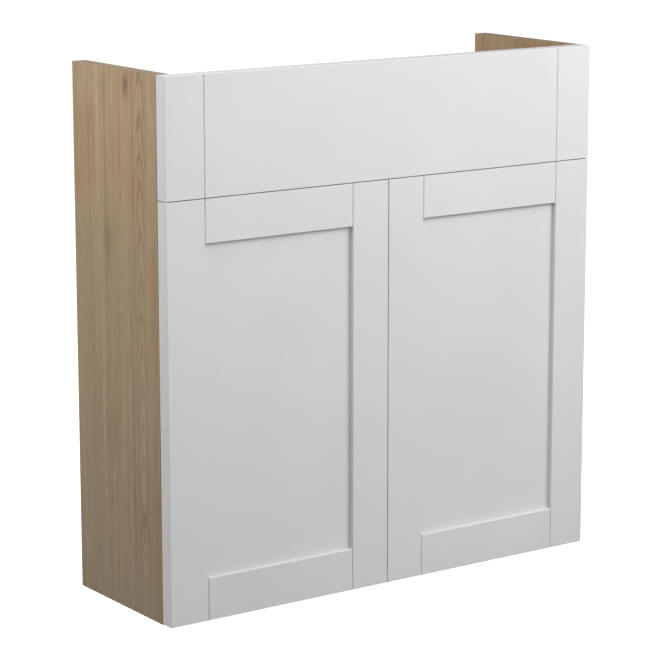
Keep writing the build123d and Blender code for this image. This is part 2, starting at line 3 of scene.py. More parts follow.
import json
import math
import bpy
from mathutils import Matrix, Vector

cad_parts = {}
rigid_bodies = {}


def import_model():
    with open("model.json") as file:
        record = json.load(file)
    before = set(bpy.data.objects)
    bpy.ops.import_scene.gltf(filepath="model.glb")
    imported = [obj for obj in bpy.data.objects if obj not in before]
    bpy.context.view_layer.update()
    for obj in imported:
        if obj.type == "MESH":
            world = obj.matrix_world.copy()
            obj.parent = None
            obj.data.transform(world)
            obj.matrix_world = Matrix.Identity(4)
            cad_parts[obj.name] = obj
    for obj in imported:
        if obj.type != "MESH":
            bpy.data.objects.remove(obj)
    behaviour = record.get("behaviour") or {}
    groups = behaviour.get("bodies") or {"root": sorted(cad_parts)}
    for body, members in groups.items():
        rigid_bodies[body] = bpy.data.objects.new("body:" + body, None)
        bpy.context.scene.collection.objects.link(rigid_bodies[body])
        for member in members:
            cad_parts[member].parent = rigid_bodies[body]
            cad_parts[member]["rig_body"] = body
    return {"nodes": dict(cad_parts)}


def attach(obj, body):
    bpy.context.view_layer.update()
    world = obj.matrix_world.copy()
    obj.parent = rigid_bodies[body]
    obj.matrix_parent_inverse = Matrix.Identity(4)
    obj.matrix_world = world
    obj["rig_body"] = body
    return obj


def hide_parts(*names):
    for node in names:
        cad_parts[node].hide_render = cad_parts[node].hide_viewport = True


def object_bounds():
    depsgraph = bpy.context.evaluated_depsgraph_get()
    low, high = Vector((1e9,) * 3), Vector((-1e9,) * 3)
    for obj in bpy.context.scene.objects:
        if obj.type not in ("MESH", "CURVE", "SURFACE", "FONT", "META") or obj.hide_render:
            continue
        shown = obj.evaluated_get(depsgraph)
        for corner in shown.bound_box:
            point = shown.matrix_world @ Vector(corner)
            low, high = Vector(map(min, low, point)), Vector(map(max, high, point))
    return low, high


bl_info = {
    "name": "Slim vanity base unit",
    "version": (1, 0, 0),
    "blender": (4, 5, 0),
    "location": "3D View > Sidebar > Vanity",
    "description": "Finishes a slim vanity base unit with two framed doors on concealed hinges",
    "category": "Add Mesh",
}

from functools import partial

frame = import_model()

import bmesh
import bpy
from bpy.props import FloatProperty, FloatVectorProperty, IntProperty, PointerProperty
from mathutils import Matrix, Vector

CAD_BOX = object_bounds()
MM = 0.001

# Nearly all values of a noise texture lie in this span, round this mean
NOISE_SPAN, NOISE_MEAN = (0.3, 0.7), 0.5
# Upward part of its normal, past which a face is on a board's upper edge
FACES_UP = 0.7
# Points of a turned mesh that are closer than this are one
SEAM = 0.01 * MM
# Edges of a fastener sharper than this stay crisp, such as a head's rim and its recess
CRISP_ANGLE = math.radians(38)
HEAD_ROWS, DOWEL_ROWS = 16, 6
SOFT_BOX_SIZE = (1.5, 1.0)
FLOOR_RADIUS, FLOOR_SIDES = 60, 96
# The floor lies this far under the unit, so that they share no face
FLOOR_GAP = 0.5 * MM
SENSOR_WIDTH = 36

SIDES = ("left", "right")
CROSS_RAILS = ("front_rail", "wall_rail", "foot_rail")
FASCIA = ("fascia_left_stile", "fascia_right_stile", "fascia_rail")
DOOR_PIECES = ("hinge_stile", "meeting_stile", "top_rail", "bottom_rail", "centre_panel")
DOOR_HINGE_PIECES = ("hinge_cups", "cup_pins", "main_links", "guide_links")

# Kinds of node that are used all over
MATH = "ShaderNodeMath"
VECTOR = "ShaderNodeVectorMath"
NOISE = "ShaderNodeTexNoise"
RANGE = "ShaderNodeMapRange"
RAMP = "ShaderNodeValToRGB"
MIX = "ShaderNodeMix"
BUMP = "ShaderNodeBump"
SPLIT = "ShaderNodeSeparateXYZ"
COMBINE = "ShaderNodeCombineXYZ"
COORDINATES = "ShaderNodeTexCoord"
PRINCIPLED = "ShaderNodeBsdfPrincipled"
OUTPUT = "ShaderNodeOutputMaterial"


# Helpers


def linear(colour):
    """The linear RGBA of an sRGB hex colour such as "#A08060"."""
    shares = [int(colour[place : place + 2], 16) / 255 for place in (1, 3, 5)]
    return (*[s / 12.92 if s <= 0.04045 else ((s + 0.055) / 1.055) ** 2.4 for s in shares], 1.0)


def add_node(tree, kind, inputs=(), output=0, **settings):
    """Add one node with its settings and give one of its outputs, or the node itself if it has none.
    inputs are values or other nodes' outputs, in the order of the sockets or by their names; a list of
    outputs goes into one socket. A colour ramp's stops are (place, sRGB hex)."""
    made = tree.nodes.new(kind)
    for place, (position, colour) in enumerate(settings.pop("stops", ())):
        elements = made.color_ramp.elements
        element = elements[place] if place < len(elements) else elements.new(position)
        element.position, element.color = position, linear(colour)
    for name, value in settings.items():
        setattr(made, name, value)
    for socket, given in inputs.items() if isinstance(inputs, dict) else enumerate(inputs):
        for value in given if isinstance(given, list) else [given]:
            if isinstance(value, bpy.types.NodeSocket):
                tree.links.new(value, made.inputs[socket])
            else:
                made.inputs[socket].default_value = value
    return made.outputs[output] if made.outputs else made


def new_material(name):
    """An empty material, and add_node for its tree."""
    material = bpy.data.materials.new(name)
    material.use_nodes = True
    material.node_tree.nodes.clear()
    return material, partial(add_node, material.node_tree)


def dress(nodes, material):
    """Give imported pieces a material."""
    for name in nodes:
        mesh = frame["nodes"][name].data
        mesh.materials.clear()
        mesh.materials.append(material)


# Materials


def oak_foil_board(name, look, axes, edge_axes, knots=(), drift=0.0):
    """Melamine-faced chipboard under a printed, embossed oak foil, dull to the touch.
    The eye sees long straight fibre streaks, low-contrast growth rings that arch up where the print was sawn
    flat, short dark pores, and a greyer band glued along the upper edge. axes name the object axes that run
    through the board, across its grain and along it; edge_axes do the same for the band. knots are (place
    across, place along, size in millimetres, darkness); the last argument is how far painted shade darkens
    the board towards its foot."""
    material, add = new_material(name)
    scaled = add(VECTOR, {0: add(COORDINATES, output="Object"), "Scale": 1 / MM}, operation="SCALE")
    parts = add(SPLIT, (scaled,)).node.outputs
    upward = add(SPLIT, (add(COORDINATES, output="Normal"),), output="Z")
    on_edge = add(MATH, (upward, FACES_UP), operation="GREATER_THAN")
    face, band = (add(COMBINE, tuple(parts[axis] for axis in order)) for order in (axes, edge_axes))
    place = add(MIX, {0: on_edge, 4: face, 5: band}, output=1, data_type="VECTOR")

    # Fibres sway a few millimetres together over a hand's length
    slow = add(VECTOR, (place, (1 / 150, 1 / 70, 1 / 260)), operation="MULTIPLY")
    sway = add(NOISE, {"Vector": slow, "Scale": 1.0, "Detail": 1.0})
    swing = look.sway / MM
    aside = add(MATH, (sway, swing, -swing * NOISE_MEAN), operation="MULTIPLY_ADD")
    place = add(VECTOR, (place, add(COMBINE, (0.0, aside, 0.0))), operation="ADD")
    across, along = add(SPLIT, (place,)).node.outputs[1:]

    # Sizes of the print's marks in millimetres, through the board, across its grain and along it
    marks = {}
    for mark, size, detail, roughness in (
        ("broad", (60, 13, 900), 3.0, 0.5),
        ("streak", (30, 3.0, 420), 4.0, 0.62),
        ("fibre", (10, 1.0, 36), 3.0, 0.62),
        # Real pores are about 0.3 mm wide; these are as wide as shows in the render
        ("pore", (6, 0.8, 10), 1.0, 0.5),
        ("patch", (90, 48, 130), 2.0, 0.5),
    ):
        spread = add(VECTOR, (place, tuple(1 / length for length in size)), operation="MULTIPLY")
        inputs = {"Vector": spread, "Scale": 1.0, "Detail": detail, "Roughness": roughness}
        marks[mark] = add(NOISE, inputs)

    # Growth rings of a log whose heart leans away from the board's face as it rises. At the foot the heart
    # lies this far behind the face, and it wanders by this much more, in millimetres
    heart_depth, heart_wander = 12.0, 9.0
    beside = add(MATH, (across, look.heart_offset / MM), operation="SUBTRACT")
    narrowed = add(MATH, (beside, look.arch_sharpness), operation="MULTIPLY")
    lift = add(MATH, (marks["patch"], heart_wander, heart_depth), operation="MULTIPLY_ADD")
    height = add(MATH, (along, look.heart_lean, lift), operation="MULTIPLY_ADD")
    reach = add(VECTOR, (add(COMBINE, (narrowed, height, 0.0)),), output="Value", operation="LENGTH")
    # How much longer than wide a knot is, how fast its mark fades over its size, and by which share of its
    # size it pushes the rings aside
    knot_stretch, knot_fade, knot_push = 2.6, -0.7, 0.9
    knot_shade = 0.0
    for knot_across, knot_along, size, darkness in knots:
        from_knot = add(VECTOR, (place, (0, knot_across, knot_along)), operation="SUBTRACT")
        in_sizes = add(VECTOR, (from_knot, (0, 1 / size, 1 / (knot_stretch * size))), operation="MULTIPLY")
        far = add(VECTOR, (in_sizes,), output="Value", operation="LENGTH")
        squared = add(MATH, (far, 2.0), operation="POWER")
        near = add(MATH, (add(MATH, (squared, knot_fade), operation="MULTIPLY"),), operation="EXPONENT")
        reach = add(MATH, (near, size * knot_push, reach), operation="MULTIPLY_ADD")
        knot_shade = add(MATH, (near, darkness, knot_shade), operation="MULTIPLY_ADD")
    ring = add(MATH, (add(MATH, (reach, look.ring_spacing / MM), operation="DIVIDE"),), operation="FRACT")
    # Late wood is darkest at this share of a ring, and fades over this share of it
    darkest, fade = 0.7, 0.3
    off_ring = add(MATH, (add(MATH, (ring, darkest), operation="SUBTRACT"),), operation="ABSOLUTE")
    latewood = add(RANGE, (off_ring, 0.0, fade, 1.0, 0.0))
    # Rings show where the print was sawn flat. Between these millimetres beside it they fade to this share
    flat_until, plain_from, plain_share = 18.0, 52.0, 0.3
    away = add(MATH, (beside,), operation="ABSOLUTE")
    flat_sawn = add(RANGE, (away, flat_until, plain_from, 1.0, plain_share))
    rings = add(MATH, (latewood, flat_sawn), operation="MULTIPLY")

    # A weighted sum of the marks picks the shade; its start brings it into the shades' span
    tone = -0.31
    # Only the peaks of their noise are pores
    pores = add(RANGE, (marks["pore"], 0.60, 0.70, 0.0, 1.0))
    for mark, weight in (
        (marks["broad"], 0.50),
        (marks["streak"], 0.66),
        (marks["fibre"], 0.66),
        (marks["patch"], 0.24),
        (rings, -look.ring_contrast),
        (pores, -0.18),
        (knot_shade, -1.0),
    ):
        tone = add(MATH, (mark, weight, tone), operation="MULTIPLY_ADD")
    shades = ((0.05, "#5A4735"), (0.30, "#846C4E"), (0.52, "#9D8360"), (0.74, "#AF9774"), (0.95, "#BFA986"))
    colour = add(RAMP, (tone,), stops=shades)
    tints = ((0.35, "#FFF6EE"), (0.5, "#FFFFFF"), (0.65, "#F1F3EE"))
    rise = add(RANGE, (along, 0.0, CAD_BOX[1].z / MM, 0.0, 1.0))
    # Painted shade: the side panels get darker towards their foot, as if less light reached it
    foot = ((0.0, "#D1D0CA"), (0.5, "#EFEEEA"), (0.95, "#FFFFFF"))
    for share, tint in (
        (0.8, add(RAMP, (marks["patch"],), stops=tints)),
        (drift, add(RAMP, (rise,), stops=foot)),
    ):
        colour = add(MIX, {0: share, 6: colour, 7: tint}, output=2, data_type="RGBA", blend_type="MULTIPLY")
    # The band goes this share of the way to this grey
    band_share, band_grey = 0.35, linear("#A79F92")
    greyed = add(MATH, (on_edge, band_share), operation="MULTIPLY")
    colour = add(MIX, {0: greyed, 6: colour, 7: band_grey}, output=2, data_type="RGBA")

    relief = add(MATH, (pores, -0.6, marks["fibre"]), operation="MULTIPLY_ADD")
    shader = add(
        PRINCIPLED,
        {
            "Base Color": colour,
            "Roughness": add(RANGE, (marks["streak"], *NOISE_SPAN, 0.62, 0.5)),
            "Normal": add(BUMP, {"Strength": 1.0, "Distance": 0.08 * MM, "Height": relief}),
        },
    )
    add(OUTPUT, (shader,))
    return material


def lacquered_mdf(name, look):
    """Fine fibreboard, sprayed with matt white lacquer and rubbed down.
    The eye sees an even, faintly grey white with a weak sheen that mottles a little, and no grain."""
    material, add = new_material(name)
    place = add(COORDINATES, output="Object")
    cloud = add(NOISE, {"Vector": place, "Scale": 1 / (140 * MM), "Detail": 2.0})
    # The spray's orange peel is about 1 mm across and shows only as a soft break in the sheen
    peel = add(NOISE, {"Vector": place, "Scale": 1 / (1.4 * MM), "Detail": 2.0})
    paint = (*look.paint_colour, 1.0)
    # Where the coat is thin it has this share of its brightness, and the sheen mottles by this much
    thin_share, mottle = 0.955, 0.05
    thin = (*[share * thin_share for share in look.paint_colour], 1.0)
    thickness = add(RANGE, (cloud, *NOISE_SPAN, 0.0, 1.0))
    low, high = look.paint_roughness - mottle, look.paint_roughness + mottle
    shader = add(
        PRINCIPLED,
        {
            "Base Color": add(MIX, {0: thickness, 6: thin, 7: paint}, output=2, data_type="RGBA"),
            "Roughness": add(RANGE, (peel, *NOISE_SPAN, low, high)),
            "Normal": add(BUMP, {"Strength": 1.0, "Distance": 0.012 * MM, "Height": peel}),
        },
    )
    add(OUTPUT, (shader,))
    return material


def fitting_finish(name, cloud, shades, skin, roughness, relief, **constants):
    """A finish for small fittings: its colour drifts over clouds, and its gloss and relief follow a skin.
    cloud and skin are the sizes of these marks in millimetres along X, Y and Z, and relief is a depth in
    millimetres. constants are named as the shader's sockets, with _ for a space."""
    material, add = new_material(name)
    place = add(COORDINATES, output="Object")
    marks = []
    for size in (cloud, skin):
        spread = add(VECTOR, (place, tuple(1 / (length * MM) for length in size)), operation="MULTIPLY")
        marks.append(add(NOISE, {"Vector": spread, "Scale": 1.0, "Detail": 2.0}))
    shader = add(
        PRINCIPLED,
        {
            "Base Color": add(RAMP, (marks[0],), stops=shades),
            "Roughness": add(RANGE, (marks[1], *NOISE_SPAN, *roughness)),
            "Normal": add(BUMP, {"Strength": 1.0, "Distance": relief * MM, "Height": marks[1]}),
            **{socket.replace("_", " "): value for socket, value in constants.items()},
        },
    )
    add(OUTPUT, (shader,))
    return material


def beech():
    """Turned beech, unsanded. The eye sees pale pinkish wood with long fine fibres along the dowel."""
    shades = ((0.2, "#B48A66"), (0.5, "#D2AE86"), (0.8, "#E3C7A2"))
    cloud, skin = (9, 0.9, 0.9), (2.4, 0.5, 0.5)
    return fitting_finish("turned_beech", cloud, shades, skin, (0.7, 0.55), 0.05)


def die_cast_zinc():
    """Die-cast zinc, tumbled. The eye sees a dull blue-grey metal with a fine pebbled skin."""
    shades = ((0.3, "#9A9DA1"), (0.6, "#B3B5B8"), (0.8, "#C2C3C4"))
    cloud, skin = (7, 7, 7), (0.8, 0.8, 0.8)
    return fitting_finish("die_cast_zinc", cloud, shades, skin, (0.38, 0.55), 0.03, Metallic=1.0)


def zinc_plated_steel():
    """Cold-formed steel, bright zinc plated. The eye sees a cool silver with faint blue and yellow clouds."""
    shades = ((0.3, "#B4BCC6"), (0.5, "#C9CBCC"), (0.7, "#CFC9B8"))
    cloud, skin = (5, 5, 5), (0.5, 0.5, 2.5)
    return fitting_finish("zinc_plated_steel", cloud, shades, skin, (0.24, 0.4), 0.01, Metallic=1.0)


def nickel_plated_steel():
    """Pressed strip, nickel plated. The eye sees a warm soft mirror with the strip's rolling lines."""
    shades = ((0.3, "#BDB9B1"), (0.7, "#D3D0C8"))
    cloud, skin = (14, 14, 14), (0.25, 12, 0.25)
    return fitting_finish("nickel_plated_steel", cloud, shades, skin, (0.2, 0.34), 0.006, Metallic=1.0)


def clear_polyurethane():
    """Cast polyurethane pad. The eye sees a soft, slightly milky clear drop."""
    shades = ((0.3, "#DDE2E0"), (0.7, "#F1F3F2"))
    glassy = {"IOR": 1.49, "Transmission_Weight": 0.7}
    cloud, skin = (3, 3, 3), (1.2, 1.2, 1.2)
    return fitting_finish("clear_polyurethane", cloud, shades, skin, (0.22, 0.36), 0.004, **glassy)


def moulded_nylon():
    """Moulded natural nylon. The eye sees a waxy off-white with the fine matt skin of an eroded mould."""
    shades = ((0.3, "#D9D6CB"), (0.7, "#E8E6DE"))
    cloud, skin = (6, 6, 6), (0.6, 0.6, 0.6)
    return fitting_finish("moulded_nylon", cloud, shades, skin, (0.42, 0.56), 0.015, IOR=1.53)


# Fasteners


def fastener_tree(name, sizes):
    """An empty geometry tree, add_node for it, and its inputs: the seats, the named sizes and a material."""
    tree = bpy.data.node_groups.new(name, "GeometryNodeTree")
    face = tree.interface
    face.new_socket(name="Pieces", in_out="OUTPUT", socket_type="NodeSocketGeometry")
    face.new_socket(name="Seats", in_out="INPUT", socket_type="NodeSocketGeometry")
    for size, value in sizes.items():
        kind = "NodeSocketInt" if isinstance(value, int) else "NodeSocketFloat"
        face.new_socket(name=size, in_out="INPUT", socket_type=kind).default_value = value
    face.new_socket(name="Material", in_out="INPUT", socket_type="NodeSocketMaterial")
    add = partial(add_node, tree)
    return tree, add, add("NodeGroupInput").node.outputs


def lathe(add, columns, rows, profile):
    """A surface of revolution about Z. profile takes the shares round and along it, from 0 to 1, and gives
    the radius and the height there."""
    grid = add("GeometryNodeMeshGrid", (1.0, 1.0, columns, rows))
    flat = add(SPLIT, (add("GeometryNodeInputPosition"),)).node.outputs
    around, along = (add(MATH, (flat[axis], 0.5), operation="ADD") for axis in "XY")
    radius, height = profile(around, along)
    angle = add(MATH, (around, math.tau), operation="MULTIPLY")
    spun = [
        add(MATH, (radius, add(MATH, (angle,), operation=turn)), operation="MULTIPLY")
        for turn in ("COSINE", "SINE")
    ]
    return add("GeometryNodeSetPosition", {"Geometry": grid, "Position": add(COMBINE, (*spun, height))})


def place_on_seats(add, sizes, piece):
    """Copy a piece to every seat, turned to its aim, as real geometry with the tree's material."""
    smooth = add("GeometryNodeSetShadeSmooth", {0: piece, "Shade Smooth": True})
    bend = add("GeometryNodeInputMeshEdgeAngle", output="Unsigned Angle")
    gentle = add(MATH, (bend, CRISP_ANGLE), operation="LESS_THAN")
    crisp = add("GeometryNodeSetShadeSmooth", {0: smooth, "Shade Smooth": gentle}, domain="EDGE")
    aim = add("GeometryNodeInputNamedAttribute", {"Name": "aim"}, data_type="FLOAT_VECTOR")
    turn = add("FunctionNodeAlignRotationToVector", {"Vector": aim}, axis="Z")
    seats = {"Points": sizes["Seats"], "Instance": crisp, "Rotation": turn}
    real = add("GeometryNodeRealizeInstances", (add("GeometryNodeInstanceOnPoints", seats),))
    add("NodeGroupOutput", (add("GeometryNodeSetMaterial", {0: real, "Material": sizes["Material"]}),))


def threaded_screw_tree():
    """A pan-head screw with a tapered cross recess, a coarse thread and a gimlet point, on every seat."""
    tree, add, sizes = fastener_tree(
        "threaded_screw",
        {
            "Shank radius": 2.0 * MM,
            "Length": 20 * MM,
            "Head radius": 4 * MM,
            "Head height": 2.4 * MM,
            "Thread pitch": 1.8 * MM,
            "Thread depth": 0.5 * MM,
            "Columns": 25,
            "Rows per turn": 6,
        },
    )
    core = add(MATH, (sizes["Shank radius"], sizes["Thread depth"]), operation="SUBTRACT")

    def shank(around, along):
        # The ridge reaches this share of the pitch to either side, and grows between these places under the
        # head
        half_ridge, plain_until, full_from = 0.3, 0.4 * MM, 2.4 * MM
        # The gimlet point is this many shank radii long, and this power rounds it
        point_length, point_power = 2.4, 0.7
        height = add(MATH, (along, sizes["Length"]), operation="MULTIPLY")
        turns = add(MATH, (height, sizes["Thread pitch"]), operation="DIVIDE")
        share = add(MATH, (add(MATH, (turns, around), operation="SUBTRACT"),), operation="FRACT")
        off_ridge = add(MATH, (add(MATH, (share, 0.5), operation="SUBTRACT"),), operation="ABSOLUTE")
        ridge = add(RANGE, (off_ridge, 0.0, half_ridge, 1.0, 0.0))
        run_in = add(RANGE, (height, plain_until, full_from, 0.0, 1.0))
        rise = add(MATH, (ridge, run_in), operation="MULTIPLY")
        radius = add(MATH, (rise, sizes["Thread depth"], core), operation="MULTIPLY_ADD")
        left = add(MATH, (sizes["Length"], height), operation="SUBTRACT")
        in_radii = add(MATH, (left, sizes["Shank radius"]), operation="DIVIDE")
        tapered = add(RANGE, (in_radii, 0.0, point_length, 0.0, 1.0))
        point = add(MATH, (tapered, point_power), operation="POWER")
        return add(MATH, (radius, point), operation="MULTIPLY"), height

    def head(around, along):
        # The dome takes this share of the rows, from the middle to the rim, and the flat underside the rest.
        # Powers fill its quarter round out to a pan head's flat top and full side
        rim, flat_top, full_side = 0.8, 0.55, 0.8
        slope = add(RANGE, (along, 0.0, rim, 0.0, math.pi / 2))
        dome = add(MATH, (add(MATH, (slope,), operation="SINE"), flat_top), operation="POWER")
        outer = add(MATH, (dome, sizes["Head radius"]), operation="MULTIPLY")
        overhang = add(MATH, (sizes["Head radius"], core), operation="SUBTRACT")
        past_rim = add(RANGE, (along, rim, 1.0, 0.0, 1.0))
        under = add(MATH, (past_rim, overhang), operation="MULTIPLY")
        # Rounding can take the cosine just below 0 at the rim, where a power has no value
        fall = add(MATH, (add(MATH, (slope,), operation="COSINE"), 0.0), operation="MAXIMUM")
        rise = add(MATH, (fall, full_side), operation="POWER")
        below = add(MATH, (sizes["Head height"], -1.0), operation="MULTIPLY")
        height = add(MATH, (rise, below), operation="MULTIPLY")
        return add(MATH, (outer, under), operation="SUBTRACT"), height

    turns = add(MATH, (sizes["Length"], sizes["Thread pitch"]), operation="DIVIDE")
    rows = add(MATH, (turns, sizes["Rows per turn"], 2.0), operation="MULTIPLY_ADD")
    halves = [lathe(add, sizes["Columns"], rows, shank), lathe(add, sizes["Columns"], HEAD_ROWS, head)]
    body = add("GeometryNodeJoinGeometry", (halves,))
    closed = add("GeometryNodeMergeByDistance", {"Geometry": body, "Distance": SEAM})

    # Two crossed blades, tapered towards the shank, cut the recess to two thirds of the head's height. Their
    # radii are shares of the head's, their depth and start of its height, and their thickness of their width
    inner_radius, outer_radius, depth, start, thickness = 0.34, 0.86, 1.3, -1.65, 0.24
    cone = add(
        "GeometryNodeMeshCone",
        {
            "Vertices": 4,
            "Radius Top": add(MATH, (sizes["Head radius"], inner_radius), operation="MULTIPLY"),
            "Radius Bottom": add(MATH, (sizes["Head radius"], outer_radius), operation="MULTIPLY"),
            "Depth": add(MATH, (sizes["Head height"], depth), operation="MULTIPLY"),
        },
    )
    square = add("GeometryNodeTransform", {"Geometry": cone, "Rotation": (0, 0, math.radians(45))})
    lift = add(COMBINE, (0.0, 0.0, add(MATH, (sizes["Head height"], start), operation="MULTIPLY")))
    flat = {"Geometry": square, "Translation": lift, "Scale": (1.0, thickness, 1.0)}
    blades = [
        add("GeometryNodeTransform", {**flat, "Rotation": (0, 0, math.radians(turn))})
        for turn in (45, 135)
    ]
    recessed = add("GeometryNodeMeshBoolean", (closed, blades), operation="DIFFERENCE", solver="EXACT")
    place_on_seats(add, sizes, recessed)
    return tree


def fluted_dowel_tree():
    """A wooden dowel with straight glue flutes and bevelled ends, on every seat."""
    tree, add, sizes = fastener_tree(
        "fluted_dowel",
        {
            "Radius": 4 * MM,
            "Length": 34 * MM,
            "End bevel": 1 * MM,
            "Flutes": 18,
            "Flute depth": 0.35 * MM,
            "Columns per flute": 4,
        },
    )

    def profile(around, along):
        # Six rows: middle of one end, its edge, its bevel, the other bevel, its edge and its middle
        steps = DOWEL_ROWS - 1
        past = [add(RANGE, (along, row / steps, (row + 1) / steps, 0.0, 1.0)) for row in range(steps)]
        turn = add(MATH, (around, math.tau), operation="MULTIPLY")
        angle = add(MATH, (turn, sizes["Flutes"]), operation="MULTIPLY")
        wave = add(MATH, (add(MATH, (angle,), operation="COSINE"), -0.5, 0.5), operation="MULTIPLY_ADD")
        groove = add(MATH, (wave, sizes["Flute depth"]), operation="MULTIPLY")
        outer = add(MATH, (sizes["Radius"], groove), operation="SUBTRACT")
        end = add(MATH, (outer, sizes["End bevel"]), operation="SUBTRACT")
        shown = add(MATH, (past[0], past[4]), operation="SUBTRACT")
        waist = add(MATH, (past[1], past[3]), operation="SUBTRACT")
        ends = add(MATH, (end, shown), operation="MULTIPLY")
        radius = add(MATH, (waist, sizes["End bevel"], ends), operation="MULTIPLY_ADD")
        middle = add(MATH, (sizes["End bevel"], -2.0, sizes["Length"]), operation="MULTIPLY_ADD")
        both = add(MATH, (past[1], past[3]), operation="ADD")
        bevels = add(MATH, (both, sizes["End bevel"]), operation="MULTIPLY")
        return radius, add(MATH, (past[2], middle, bevels), operation="MULTIPLY_ADD")

    columns = add(MATH, (sizes["Flutes"], sizes["Columns per flute"], 1.0), operation="MULTIPLY_ADD")
    body = lathe(add, columns, DOWEL_ROWS, profile)
    closed = add("GeometryNodeMergeByDistance", {"Geometry": body, "Distance": SEAM})
    place_on_seats(add, sizes, closed)
    return tree


def solids(node):
    """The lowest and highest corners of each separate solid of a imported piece."""
    shape = bmesh.new()
    shape.from_mesh(frame["nodes"][node].data)
    bmesh.ops.remove_doubles(shape, verts=shape.verts, dist=0.001 * MM)
    left, boxes = set(shape.verts), []
    while left:
        waiting, found = [left.pop()], []
        while waiting:
            vert = waiting.pop()
            found.append(vert.co.copy())
            joined = {edge.other_vert(vert) for edge in vert.link_edges} & left
            left -= joined
            waiting.extend(joined)
        boxes.append((Vector(map(min, *found)), Vector(map(max, *found))))
    shape.free()
    return sorted(boxes, key=lambda box: tuple(box[0]))


def forwards(place):
    """Towards the fronts' outer faces."""
    return Vector((0, -1, 0))


def outwards(place):
    """Towards the nearer side panel."""
    return Vector((math.copysign(1, place.x), 0, 0))


def crossways(place):
    """Along the unit's width."""
    return Vector((1, 0, 0))


def fasteners(node, tree, aim_at, head, sizes, material):
    """Make one plain mesh of every copy of a fastener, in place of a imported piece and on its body.
    aim_at gives the way that a tip points, and head is the height of the head above its seat. The copies are
    equally long."""
    seats, aims = [], []
    for low, high in solids(node):
        middle = (low + high) / 2
        aim = aim_at(middle)
        length = abs((high - low).dot(aim))
        seats.append(middle + aim * (head - length / 2))
        aims.append(aim)
    mesh = bpy.data.meshes.new(f"{node}_seats")
    mesh.from_pydata(seats, [], [])
    turned = mesh.attributes.new("aim", "FLOAT_VECTOR", "POINT")
    turned.data.foreach_set("vector", [share for aim in aims for share in aim])
    maker = bpy.data.objects.new(f"{node}_maker", mesh)
    bpy.context.scene.collection.objects.link(maker)
    modifier = maker.modifiers.new("fasteners", "NODES")
    modifier.node_group = tree
    given = {**sizes, "Length": length - head, "Material": material}
    for socket in tree.interface.items_tree:
        if socket.in_out == "INPUT" and socket.name in given:
            modifier[socket.identifier] = given[socket.name]
    made = bpy.data.meshes.new_from_object(maker.evaluated_get(bpy.context.evaluated_depsgraph_get()))
    maker.modifiers.remove(modifier)
    bpy.data.objects.remove(maker)
    # The tree leaves an empty slot before its material
    made.materials.clear()
    made.materials.append(material)
    made.polygons.foreach_set("material_index", [0] * len(made.polygons))
    made.name = f"{node}_detailed"
    piece = bpy.data.objects.new(made.name, made)
    bpy.context.scene.collection.objects.link(piece)
    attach(piece, frame["nodes"][node]["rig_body"])
    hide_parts(node)


# Settings


class VanityBoardSettings(bpy.types.PropertyGroup):
    """Grain of the oak-foil board"""

    ring_spacing: FloatProperty(
        name="Ring spacing",
        description="Width of one growth ring in the printed oak",
        default=4.6 * MM,
        min=1 * MM,
        subtype="DISTANCE",
        unit="LENGTH",
    )
    ring_contrast: FloatProperty(
        name="Ring contrast",
        description="How much darker the late wood of a ring is",
        default=0.22,
        min=0,
        max=1,
        subtype="FACTOR",
    )
    heart_offset: FloatProperty(
        name="Arch place",
        description="Place across the side panels where the grain arches",
        default=-45 * MM,
        subtype="DISTANCE",
        unit="LENGTH",
    )
    heart_lean: FloatProperty(
        name="Heart lean",
        description="How fast the log's heart leans away from the board along its length",
        default=0.105,
        min=0,
        max=1,
        subtype="FACTOR",
    )
    arch_sharpness: FloatProperty(
        name="Arch sharpness",
        description="How narrow the grain's arches are, from 1, round",
        default=2.4,
        min=1,
    )
    sway: FloatProperty(
        name="Sway",
        description="How far the fibres sway from side to side",
        default=14 * MM,
        min=0,
        subtype="DISTANCE",
        unit="LENGTH",
    )


class VanityFrontSettings(bpy.types.PropertyGroup):
    """Colour and gloss of the white fronts"""

    paint_colour: FloatVectorProperty(
        name="Paint colour",
        description="Colour of the matt lacquer",
        default=linear("#DCDCDC")[:3],
        min=0,
        max=1,
        subtype="COLOR",
    )
    paint_roughness: FloatProperty(
        name="Paint roughness",
        description="Mean roughness of the matt lacquer",
        default=0.5,
        min=0.1,
        max=1,
        subtype="FACTOR",
    )


class VanityFastenerSettings(bpy.types.PropertyGroup):
    """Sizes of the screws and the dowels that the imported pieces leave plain"""

    head_radius: FloatProperty(
        name="Head radius",
        description="Radius of a screw's pan head",
        default=4 * MM,
        min=1 * MM,
        subtype="DISTANCE",
        unit="LENGTH",
    )
    head_height: FloatProperty(
        name="Head height",
        description="Height of a screw's pan head",
        default=2.4 * MM,
        min=0.5 * MM,
        subtype="DISTANCE",
        unit="LENGTH",
    )
    thread_pitch: FloatProperty(
        name="Thread pitch",
        description="Distance between two turns of a screw's thread",
        default=1.8 * MM,
        min=0.5 * MM,
        subtype="DISTANCE",
        unit="LENGTH",
    )
    thread_depth: FloatProperty(
        name="Thread depth",
        description="Height of a screw's thread above its core",
        default=0.5 * MM,
        min=0,
        subtype="DISTANCE",
        unit="LENGTH",
    )
    dowel_radius: FloatProperty(
        name="Dowel radius",
        description="Radius of a dowel over its flutes",
        default=4 * MM,
        min=1 * MM,
        subtype="DISTANCE",
        unit="LENGTH",
    )
    flutes: IntProperty(
        name="Flutes",
        description="Number of glue flutes round a dowel",
        default=18,
        min=3,
    )


